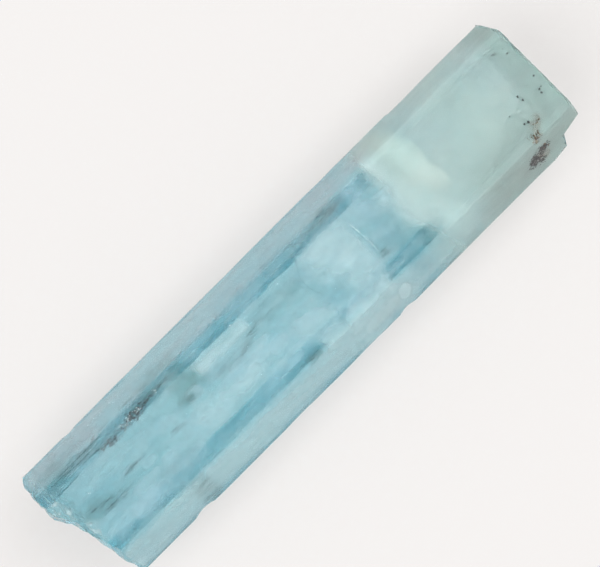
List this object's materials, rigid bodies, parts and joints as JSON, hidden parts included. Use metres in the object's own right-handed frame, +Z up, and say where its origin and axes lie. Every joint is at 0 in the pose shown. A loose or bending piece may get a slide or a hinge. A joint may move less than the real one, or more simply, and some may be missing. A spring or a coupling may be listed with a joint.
{
  "type": "aquamarine crystal",
  "caption": "Loose six-sided prism of pale sea-blue beryl, flat at its natural end and broken at its foot, lying on a prism face.",
  "frame": {"origin": "under the middle of the crystal's bounding box, on the surface that it rests on", "axes": "+X along the crystal's long (c) axis towards the flat natural end, +Z up through the widest prism face"},
  "size_m": [0.0788, 0.0182, 0.0146],
  "materials": {
    "aquamarine": "satin",
    "veil": "matte",
    "dark_mineral": "matte"
  },
  "bodies": {
    "root": {"aquamarine_crystal": "aquamarine"}
  },
  "joints": []
}
